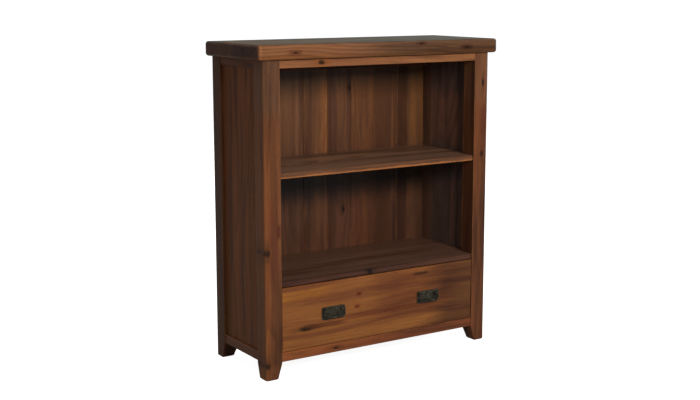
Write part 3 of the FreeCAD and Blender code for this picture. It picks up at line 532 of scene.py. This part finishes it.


# The side panels.  Each is a wide glued-up hardwood board that floats in grooves in the posts and
# the side rails, with its grain upright.  On the right one's inner face, painted shade darkens the
# lower bay and bands under the shelf and under the top.
UPRIGHT_SIDE = Matrix(((0, 0, 1), (0, 1, 0), (-1, 0, 0)))
PANEL_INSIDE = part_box("right_side_panel")[0].x
PANELS = {
    "left_side_panel": dict(seed=31.5, pale=tone(142, 82, 44), body=tone(127, 72, 38), gloss=0.25,
                            dark=tone(84, 51, 33)),
    "right_side_panel": dict(
        seed=33.8, pale=tone(138, 94, 81), body=tone(103, 84, 75), dark=tone(66, 52, 46), gloss=0.6,
        # Painted shade on the inner face: the lower bay, a band under the shelf and a band under
        # the top.
        patches=[((PANEL_INSIDE, 0, 0.30), 0.34, 0.40, (0.70, 0.82, 0.92), 0.006),
                 ((PANEL_INSIDE, 0, 0.61), 0.06, 0.40, (0.60, 0.76, 0.95), 0.006),
                 ((PANEL_INSIDE, 0, 0.96), 0.11, 0.40, (0.58, 0.74, 0.92), 0.006)]),
}
for node, board in PANELS.items():
    dress(frame["nodes"][node],
          wood_finish(node + "_wood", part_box(node), UPRIGHT_SIDE, pith=(0.02, 0.2), **board))


# The back.  Eight upright boards, tongued and grooved into each other with a small gap, are held
# to the rear rails by steel brads, each with its head in a shallow pit.  The look of dark iron is
# made here, as the brads are the first pieces that have it.
INNER_FACE, BACK_FACE = (corner.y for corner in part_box("back_board_1"))
BACK_BOARDS = {
    "back_board_1": dict(seed=41.3, pale=tone(113, 74, 50), body=tone(103, 67, 45),
                         pith=(0.0, 0.12)),
    "back_board_2": dict(seed=42.9, pale=tone(128, 83, 56), body=tone(108, 71, 48),
                         pith=(0.0, 0.07)),
    "back_board_3": dict(
        seed=44.6, pale=tone(134, 91, 62), body=tone(114, 78, 54), pith=(0.02, 0.10),
        patches=[((-0.124, INNER_FACE, 0.80), 0.25, 0.006, (1.12, 1.12, 1.2)),
                 ((-0.105, INNER_FACE, 0.60), 0.60, 0.008, (0.85, 0.85, 0.88))]),
    "back_board_4": dict(
        seed=46.1, pale=tone(140, 93, 59), body=tone(114, 76, 50), pith=(-0.02, 0.15),
        patches=[((-0.012, INNER_FACE, 0.82), 0.20, 0.014, (1.28, 1.23, 1.08)),
                 ((-0.085, INNER_FACE, 0.60), 0.50, 0.012, (0.87, 0.87, 0.9))]),
    "back_board_5": dict(
        seed=47.7, pale=tone(134, 89, 60), body=tone(117, 78, 53), pith=(0.0, 0.05),
        knots=[((0.063, INNER_FACE, 0.449), 0.006, 1.7), ((0.090, INNER_FACE, 0.876), 0.007, 1.8)],
        patches=[((0.010, INNER_FACE, 0.60), 0.60, 0.008, (0.7, 0.65, 0.7)),
                 ((0.088, INNER_FACE, 0.75), 0.30, 0.008, (0.8, 0.8, 0.9))]),
    "back_board_6": dict(seed=49.2, pale=tone(132, 84, 53), body=tone(113, 72, 46),
                         pith=(0.01, 0.08)),
    "back_board_7": dict(
        seed=50.8, pale=tone(116, 74, 50), body=tone(98, 63, 43), pith=(0.0, 0.13),
        patches=[((0.279, INNER_FACE, 0.38), 0.08, 0.010, (0.58, 0.58, 0.7)),
                 ((0.272, INNER_FACE, 0.50), 0.35, 0.003, (1.6, 1.6, 1.5)),
                 ((0.345, INNER_FACE, 0.30), 0.32, 0.10, (1.16, 1.26, 1.32))]),
    "back_board_8": dict(
        seed=52.5, pale=tone(112, 74, 48), body=tone(96, 63, 43), pith=(0.0, 0.11),
        patches=[((0.314, INNER_FACE, 0.60), 0.60, 0.022, (0.62, 0.6, 0.65)),
                 ((0.378, INNER_FACE, 0.80), 0.30, 0.030, (1.3, 1.3, 1.1)),
                 ((0.345, INNER_FACE, 0.30), 0.32, 0.10, (1.16, 1.26, 1.32))]),
}
# Painted shade that all the boards share on their inner face (height, half height and gain):
# darker over the lower bay and in a band under the shelf, cooler in a band under the top.
PAINTED_BACK_SHADE = [(0.30, 0.34, (0.63, 0.59, 0.66)), (0.960, 0.07, (0.92, 1.12, 1.30)),
               (0.575, 0.07, (0.54, 0.72, 0.93))]
SHADE_HALF_WIDTH, SHADE_HALF_DEPTH = 0.40, 0.005

BRAD_HEIGHTS, BRAD_INSETS = (0.094, 0.963), (0.028, -0.022)
BRAD_SPOTS = [(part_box(node)[side].x + inset, height) for node in BACK_BOARDS
              for side, inset in enumerate(BRAD_INSETS) for height in BRAD_HEIGHTS]
HEAD_RADIUS, HEAD_SUNK, HEAD_THICK, HEAD_ROUND = 0.0019, 0.0003, 0.0012, 0.0002
PIT_RADIUS, PIT_DEPTH, PIT_ABOVE = 0.0021, 0.001, 0.001


def pick(kind, wanted):
    """In edit mode, select only the faces, edges or vertices that the test picks out."""
    bpy.ops.mesh.select_all(action="DESELECT")
    shape = bmesh.from_edit_mesh(bpy.context.object.data)
    for part in getattr(shape, kind):
        if wanted(part):
            part.select_set(True)
    shape.select_flush_mode()
    bmesh.update_edit_mesh(bpy.context.object.data)


def begin(name, add, **settings):
    """Start a piece from a primitive, put in its place, with edit mode open."""
    bpy.ops.object.select_all(action="DESELECT")
    size = settings.pop("scale", (1, 1, 1))
    add(**settings)
    bpy.context.object.name = name
    bpy.context.object.scale = size
    bpy.ops.object.transform_apply(location=False, rotation=True, scale=True)
    bpy.ops.object.mode_set(mode="EDIT")
    bpy.ops.mesh.select_mode(type="FACE")
    return bpy.context.object


def brad_heads(name, radius, outer, inner):
    """Round heads or pits on the back, one for each brad, as a single piece."""
    first = BRAD_SPOTS[0]
    heads = begin(name, bpy.ops.mesh.primitive_cylinder_add, vertices=14, radius=radius,
                  depth=outer - inner, location=(first[0], (outer + inner) / 2, first[1]),
                  rotation=(math.radians(90), 0, 0))
    bpy.ops.mesh.select_mode(type="EDGE")
    pick("edges", lambda edge: all((heads.matrix_world @ v.co).y > outer - SAME_PLACE
                                   for v in edge.verts))
    bpy.ops.mesh.bevel(offset=HEAD_ROUND, segments=1, affect="EDGES")
    bpy.ops.mesh.select_all(action="SELECT")
    for last, spot in zip(BRAD_SPOTS, BRAD_SPOTS[1:]):
        bpy.ops.mesh.duplicate_move(TRANSFORM_OT_translate={
            "value": (spot[0] - last[0], 0, spot[1] - last[1])})
    bpy.ops.object.mode_set(mode="OBJECT")
    bpy.ops.object.transform_apply(location=True, rotation=False, scale=False)
    return heads


IRON_RELIEF = (0.6, 0.0006)
RIM_WIDTH, RIM_SHARE = 0.0010, 0.5


def make_iron_group():
    """Forged iron under black wax: hammer marks, rubbed bright spots and a little rust."""
    group, given, gives = new_group(
        "forged_iron", (("Vector", "Vector"), ("Seed", "Float")),
        (("Color", "Color"), ("Roughness", "Float"), ("Height", "Float")))
    seed = wire(group, "CombineXYZ", (given["Seed"], given["Seed"], given["Seed"])).outputs[0]
    where = vectors(group, "ADD", seed, given["Vector"])
    dents = wire(group, "TexVoronoi", (where, None, 170.0), feature="SMOOTH_F1").outputs[0]
    cloud = noise(group, where, (75, 75, 75), 4.0, 0.62).outputs[0]
    grit = noise(group, where, (900, 900, 900), 2.0).outputs[0]
    colour = blend(group, between(group, cloud, 0.36, 0.68), tone(70, 66, 57), tone(112, 108, 95))
    rust = between(group, noise(group, where, (110, 110, 110), 4.0).outputs[0], 0.60, 0.72)
    colour = blend(group, maths(group, "MULTIPLY", rust, 0.4), colour, tone(82, 54, 38))
    group.links.new(colour, gives["Color"])
    group.links.new(maths(group, "MULTIPLY_ADD", cloud, 0.30, 0.24), gives["Roughness"])
    height = maths(group, "MULTIPLY_ADD", grit, 0.12, maths(group, "MULTIPLY", dents, 1.4))
    group.links.new(height, gives["Height"])
    return group


IRON = make_iron_group()


def iron_finish(name, seed, box=None):
    """Dark iron or steel for one piece; a plate also has its rim rubbed bright."""
    finish, tree, here = start_finish(name)
    iron = wire(tree, "Group", (here, seed), node_tree=IRON).outputs
    colour = iron["Color"]
    if box:
        rim = wire(tree, "Group", (here, *box, RIM_WIDTH), node_tree=WORN).outputs[0]
        colour = blend(tree, maths(tree, "MULTIPLY", rim, RIM_SHARE), colour, tone(132, 130, 120))
    shader = end_finish(tree, colour, iron["Roughness"], iron["Height"], IRON_RELIEF, gloss=0.4)
    shader.inputs["Metallic"].default_value = 0.7
    return finish


pits = brad_heads("brad_pits", PIT_RADIUS, BACK_FACE + PIT_ABOVE, BACK_FACE - PIT_DEPTH)
for node, board in BACK_BOARDS.items():
    low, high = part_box(node)
    plank = eased_copy(node, width=0.0004)
    sunk = plank.modifiers.new("sunk", "BOOLEAN")
    sunk.operation = "DIFFERENCE"
    sunk.object = pits
    bpy.ops.object.modifier_apply(modifier="sunk")
    painted_shade = [((low.x, INNER_FACE, height), half_height, SHADE_HALF_WIDTH, gain, SHADE_HALF_DEPTH)
              for height, half_height, gain in PAINTED_BACK_SHADE]
    board["patches"] = board.get("patches", []) + painted_shade
    dress(plank, wood_finish(node + "_wood", (low, high), UPRIGHT, dark=tone(88, 59, 45),
                             gloss=0.65, **board))
bpy.data.objects.remove(pits)

brads = brad_heads("back_brads", HEAD_RADIUS, BACK_FACE - HEAD_SUNK,
                   BACK_FACE - HEAD_SUNK - HEAD_THICK)
dress(brads, iron_finish("back_brads_steel", seed=61.5))
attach(brads, "case")


# The shelf and the deck over the drawer.  Each is a solid board, notched round the posts and glued
# on cleats at the sides.  Only its lower corners are rubbed pale, so the box that the wear goes
# by reaches well above the board.
LENGTHWISE = Matrix(((1, 0, 0), (0, 1, 0), (0, 0, 1)))
WEAR_RAISED = Vector((0, 0, 0.1))
SHELF_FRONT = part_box("middle_shelf")[0].y
SHELVES = {
    # The pale, greyish colours of the shelf and the deck are partly their own and partly a painted
    # sheen.
    "middle_shelf": dict(seed=61.4, pale=tone(162, 121, 95), body=tone(146, 110, 89), dark=UMBER,
                         edge=tone(205, 128, 72), wear=0.009,
                         patches=[((0, SHELF_FRONT, 0), 0.9, 0.003, (0.62, 0.48, 0.36))]),
    "drawer_deck": dict(seed=63.2, pale=tone(126, 90, 74), body=tone(110, 79, 64), dark=UMBER,
                        edge=tone(100, 58, 44), knots=[((-0.044, SHELF_FRONT, 0.303), 0.005, 1.8)],
                        patches=[((0, SHELF_FRONT, 0), 0.9, 0.003, (0.62, 0.47, 0.42))]),
}
for node, board in SHELVES.items():
    low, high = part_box(node)
    plank = eased_copy(node, width=0.0015)
    dress(plank, wood_finish(node + "_wood", (low, high), LENGTHWISE, pith=(0.0, -0.08), gloss=0.7,
                             rubbed=(low, high + WEAR_RAISED), **board))


# The hidden carpentry.  Plain planed hardwood: cleats under the shelf, the deck and the top, and
# the runners, guides and stops of the drawer.
HIDDEN = sorted(name for name in frame["nodes"]
                if name.endswith(("_cleat", "_runner", "_guide")) or name == "drawer_stops")
for number, node in enumerate(HIDDEN):
    turn = LENGTHWISE if node == "drawer_stops" else FRONT_TO_BACK
    dress(frame["nodes"][node], wood_finish(
        node + "_wood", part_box(node), turn, seed=70.3 + 1.7 * number, pale=tone(150, 112, 78),
        body=tone(128, 92, 62), dark=tone(88, 60, 42), wear=0.001, roughness=0.15))


# The top.  One thick slab of hardwood, its edges and corners rounded over, glued down on the top
# cleats.  The end grain drank more of the stain than the long sides did.
slab = eased_copy("top_board", width=0.0004)
slab_low, slab_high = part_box("top_board")
KNOT_HALO, END_GRAIN = (0.84, 0.68, 0.66), (0.42, 0.42, 0.5)
dress(slab, wood_finish(
    "top_board_wood", (slab_low, slab_high), LENGTHWISE_FRONT, seed=81.7,
    pale=tone(155, 103, 68), body=tone(132, 87, 60), dark=tone(82, 50, 34),
    pith=(-0.13, 0.03), wear=0.005, edge=tone(160, 106, 76),
    knots=[((-0.331, slab_low.y, 1.024), 0.0035, 2.5), ((0.329, slab_low.y, 1.025), 0.0035, 2.2),
           ((0.141, slab_low.y, 1.041), 0.003, 2.2)],
    patches=[((-0.331, 0, 1.024), 0.022, 0.008, KNOT_HALO),
             ((0.329, 0, 1.025), 0.022, 0.008, KNOT_HALO),
             ((0.141, 0, 1.041), 0.018, 0.006, KNOT_HALO),
             # A painted highlight down the rounded front-left corner.
             ((-0.451, slab_low.y, 1.026), 0.004, 0.04, (1.30, 1.25, 1.15), 0.012),
             ((slab_low.x, 0, 1.026), 0.005, 0.2, END_GRAIN),
             ((slab_high.x, 0, 1.026), 0.009, 0.2, END_GRAIN),
             ((0, 0, 1.006), 0.9, 0.010, (1.1, 1.0, 0.75)),
             # The top face and its rounded front edge tinted olive: a painted sheen.
             ((0, 0, 1.053), 0.9, 0.005, (0.75, 0.90, 0.75)),
             ((-0.02, 0, 1.026), 0.16, 0.2, (0.88, 0.92, 1.0)),
             ((0.46, 0, 1.026), 0.48, 0.2, (0.58, 0.65, 0.71))]))


# The drawer front.  A single wide board of the same stained hardwood, lapped over the dovetails
# of the drawer sides and glued to them.  Its right end took the stain much darker.
drawer_face = eased_copy("drawer_front", width=0.0015)
face_low, face_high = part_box("drawer_front")
SMALL_KNOT_HALO = (0.84, 0.62, 0.66)
dress(drawer_face, wood_finish(
    "drawer_front_wood", (face_low, face_high), LENGTHWISE_FRONT, seed=91.2,
    pale=tone(184, 122, 62), body=tone(154, 96, 51), dark=tone(117, 66, 41),
    figure=0.5, pith=(0.03, 0.09),
    knots=[((-0.294, face_low.y, 0.149), 0.008, 3.0), ((-0.089, face_low.y, 0.236), 0.003, 1.4),
           ((-0.096, face_low.y, 0.195), 0.003, 1.4)],
    patches=[((0.400, 0, 0.19), 0.185, 0.3, (0.42, 0.41, 0.55)),
             ((-0.30, 0, 0.262), 0.10, 0.016, (1.25, 1.3, 0.9)),
             ((0.05, 0, 0.165), 0.20, 0.008, (0.75, 0.62, 0.70)),
             ((0.140, 0, 0.21), 0.16, 0.10, (0.72, 0.66, 0.74)),
             ((-0.225, 0, 0.152), 0.07, 0.007, (0.55, 0.50, 0.60)),
             ((-0.088, 0, 0.236), 0.011, 0.007, SMALL_KNOT_HALO),
             ((-0.095, 0, 0.195), 0.010, 0.007, SMALL_KNOT_HALO),
             ((0.162, 0, 0.272), 0.03, 0.005, (0.4, 0.4, 0.5))]))


# The drawer box.  Sides, back and bottom of thinner hardwood, dovetailed at all four corners, with
# the bottom in grooves.
BOX = {
    "drawer_left_side": (101.3, FRONT_TO_BACK),
    "drawer_right_side": (103.9, FRONT_TO_BACK),
    "drawer_back": (105.1, LENGTHWISE_FRONT),
    "drawer_bottom": (107.4, LENGTHWISE),
}
for node, (seed, turn) in BOX.items():
    dress(frame["nodes"][node], wood_finish(
        node + "_wood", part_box(node), turn, seed, pale=tone(150, 106, 70),
        body=tone(124, 84, 54), dark=tone(84, 56, 38), roughness=0.1))


# The bail pulls.  Hammered black iron: a flat plate, two short posts screwed through the drawer
# front, and a forged bail that turns on its pins in the posts.
def hammered(piece, group, depth, mark, direction):
    """Shallow dents, as a planishing hammer leaves them, on a group of points or all over."""
    bpy.ops.object.mode_set(mode="OBJECT")
    dents = piece.modifiers.new("dents", "DISPLACE")
    dents.texture = bpy.data.textures.new(piece.name + "_dents", "CLOUDS")
    dents.texture.noise_scale = mark
    dents.texture.noise_depth = 1
    dents.direction = direction
    dents.mid_level = 1.0 if group else 0.5
    dents.strength = depth
    dents.vertex_group = group
    bpy.ops.object.modifier_apply(modifier="dents")
    bpy.ops.object.shade_smooth_by_angle(angle=SHARP_ANGLE)
    bpy.ops.object.transform_apply(location=True, rotation=True, scale=True)


def place_iron(piece, name, node, body, seed, move, rim=False):
    """A copy of a forged piece with its own mesh, moved to its place, in the node's stead."""
    made = bpy.data.objects.new(name, piece.data.copy())
    bpy.context.scene.collection.objects.link(made)
    made.data.transform(Matrix.Translation(move))
    dress(made, iron_finish(name + "_iron", seed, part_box(node) if rim else None))
    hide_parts(node)
    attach(made, body)


plate_low, plate_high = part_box("left_pull_plate")
PULL = Vector(((plate_low.x + plate_high.x) / 2, plate_high.y, (plate_low.z + plate_high.z) / 2))
PLATE, FACE = plate_high - plate_low, plate_low.y
BETWEEN_PULLS = Vector((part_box("right_pull_plate")[0].x - plate_low.x, 0, 0))
CORNER_CUT, PLATE_ROUND = 0.002, 0.0008
NEARLY_SQUARE, JUST_INSIDE = 1.2, 0.0001

plate = begin("plate", bpy.ops.mesh.primitive_grid_add, x_subdivisions=44, y_subdivisions=21,
              size=1, location=PULL, rotation=(math.radians(90), 0, 0),
              scale=(PLATE.x, PLATE.z, 1))
for across in (-1, 1):
    for up in (-1, 1):
        corner = Vector((across * (PLATE.x / 2 - CORNER_CUT), 0, up * (PLATE.z / 2 - CORNER_CUT)))
        bpy.ops.mesh.select_all(action="SELECT")
        bpy.ops.mesh.bisect(plane_co=PULL + corner, plane_no=(across, 0, up), clear_outer=True)
bpy.ops.mesh.select_all(action="SELECT")
bpy.ops.mesh.extrude_region_move(TRANSFORM_OT_translate={"value": (0, -PLATE.y, 0)})
bpy.ops.mesh.select_mode(type="EDGE")
pick("edges", lambda edge: edge.is_boundary)
bpy.ops.mesh.edge_face_add()
bpy.ops.mesh.select_all(action="SELECT")
bpy.ops.mesh.normals_make_consistent(inside=False)
pick("edges", lambda edge: edge.calc_face_angle(0) > NEARLY_SQUARE
     and all((plate.matrix_world @ v.co).y < FACE + JUST_INSIDE for v in edge.verts))
bpy.ops.mesh.bevel(offset=PLATE_ROUND, segments=2, affect="EDGES")
bpy.ops.object.mode_set(mode="OBJECT")
face = plate.vertex_groups.new(name="face")
face.add([v.index for v in plate.data.vertices
          if (plate.matrix_world @ v.co).y < FACE + SAME_PLACE], 1.0, "REPLACE")
hammered(plate, "face", depth=-0.0009, mark=0.007, direction="Y")

SWING = next(joint for joint in frame["joints"] if joint["name"] == "left_bail_swing")
PIVOT = Vector(SWING["pos_m"])
POST_RADIUS, POST_LENGTH, POST_ROUND = 0.005, 0.0115, 0.0024
POST_FROM_MIDDLE = 0.030
COLLAR, COLLAR_PROUD = 0.0012, 0.0004
DISH_RIM, DISH_DEPTH = 0.0007, 0.0003

post = begin("post", bpy.ops.mesh.primitive_cylinder_add, vertices=32, radius=POST_RADIUS,
             depth=POST_LENGTH, rotation=(math.radians(90), 0, 0),
             location=(PULL.x - POST_FROM_MIDDLE, FACE - POST_LENGTH / 2, PIVOT.z))
bpy.ops.mesh.select_all(action="SELECT")
bpy.ops.mesh.bisect(plane_co=(0, FACE - COLLAR, 0), plane_no=(0, 1, 0))
pick("faces", lambda side: abs(side.normal.y) < 0.5
     and (post.matrix_world @ side.calc_center_median()).y > FACE - COLLAR)
bpy.ops.mesh.extrude_region_shrink_fatten(TRANSFORM_OT_shrink_fatten={"value": COLLAR_PROUD})
bpy.ops.mesh.select_mode(type="EDGE")
pick("edges", lambda edge: all(
    (post.matrix_world @ v.co).y < FACE - POST_LENGTH + JUST_INSIDE for v in edge.verts))
bpy.ops.mesh.bevel(offset=POST_ROUND, segments=4, affect="EDGES")
bpy.ops.mesh.select_mode(type="FACE")
pick("faces", lambda end: end.normal.y < -0.99 and len(end.verts) > 8)
bpy.ops.mesh.inset(thickness=DISH_RIM, depth=-DISH_DEPTH)
hammered(post, "", depth=0.0002, mark=0.004, direction="NORMAL")

BAIL_RADIUS, BAIL_DEEPER, BAIL_HALF_SPAN = 0.0025, 1.1, 0.038
TOP_ABOVE_PIVOT, TOP_ROUND = 0.0036, 0.0016
ARM_STEPS = (0.0018, 0.0036, 0.0054, 0.0054, 0.00515)
BEND, GRIP_SWELLS = 0.005, (1.10, 1.11, 1.05, 1.015)
GRIP_STEP = (BAIL_HALF_SPAN - BEND) / len(GRIP_SWELLS)
PIN_RADIUS, PIN_LENGTH, PIN_FROM_MIDDLE = 0.002, 0.0134, 0.0342

bail = begin("bail", bpy.ops.mesh.primitive_circle_add, vertices=16, radius=BAIL_RADIUS,
             fill_type="NGON", location=PIVOT, scale=(1, BAIL_DEEPER, 1))
bpy.ops.mesh.select_all(action="SELECT")
bpy.ops.transform.translate(value=(-BAIL_HALF_SPAN, 0, TOP_ABOVE_PIVOT))
for drop in ARM_STEPS:
    bpy.ops.mesh.extrude_region_move(TRANSFORM_OT_translate={"value": (0, 0, -drop)})
bpy.ops.mesh.spin(steps=6, angle=math.radians(90), axis=(0, 1, 0),
                  center=(PIVOT.x - BAIL_HALF_SPAN + BEND, PIVOT.y,
                          PIVOT.z + TOP_ABOVE_PIVOT - sum(ARM_STEPS)))
for swell in GRIP_SWELLS:
    bpy.ops.mesh.extrude_region_move(TRANSFORM_OT_translate={"value": (GRIP_STEP, 0, 0)})
    bpy.ops.transform.resize(value=(1, 1, swell))
bpy.ops.mesh.delete(type="ONLY_FACE")
bpy.ops.mesh.select_mode(type="EDGE")
pick("edges", lambda edge: all(
    (bail.matrix_world @ v.co).z > PIVOT.z + TOP_ABOVE_PIVOT - JUST_INSIDE for v in edge.verts))
bpy.ops.mesh.bevel(offset=TOP_ROUND, segments=3, affect="EDGES")
bpy.ops.mesh.select_all(action="DESELECT")
bpy.ops.mesh.primitive_cylinder_add(vertices=16, radius=PIN_RADIUS, depth=PIN_LENGTH,
                                    location=PIVOT - Vector((PIN_FROM_MIDDLE, 0, 0)),
                                    rotation=(0, math.radians(90), 0))
bpy.ops.object.mode_set(mode="OBJECT")
other_half = bail.modifiers.new("other_half", "MIRROR")
other_half.merge_threshold = SAME_PLACE
bpy.ops.object.modifier_apply(modifier="other_half")
bpy.ops.object.mode_set(mode="EDIT")
bpy.ops.mesh.select_all(action="SELECT")
bpy.ops.mesh.remove_doubles(threshold=SAME_PLACE)
bpy.ops.mesh.normals_make_consistent(inside=False)
hammered(bail, "", depth=0.0003, mark=0.005, direction="NORMAL")

TO_OTHER_POST = Vector((2 * POST_FROM_MIDDLE, 0, 0))
for side, move, seed in (("left", Vector((0, 0, 0)), 2.3), ("right", BETWEEN_PULLS, 9.1)):
    place_iron(plate, side + "_forged_plate", side + "_pull_plate", "drawer", seed, move, rim=True)
    place_iron(bail, side + "_forged_bail", side + "_bail", side + "_bail", seed + 3, move)
    place_iron(post, side + "_pull_left_turned_post", side + "_pull_left_post", "drawer",
               seed + 5, move)
    place_iron(post, side + "_pull_right_turned_post", side + "_pull_right_post", "drawer",
               seed + 7, move + TO_OTHER_POST)
for pattern in (plate, post, bail):
    bpy.data.objects.remove(pattern)
dress(frame["nodes"]["pull_screws"], iron_finish("pull_screws_steel", seed=55.5))
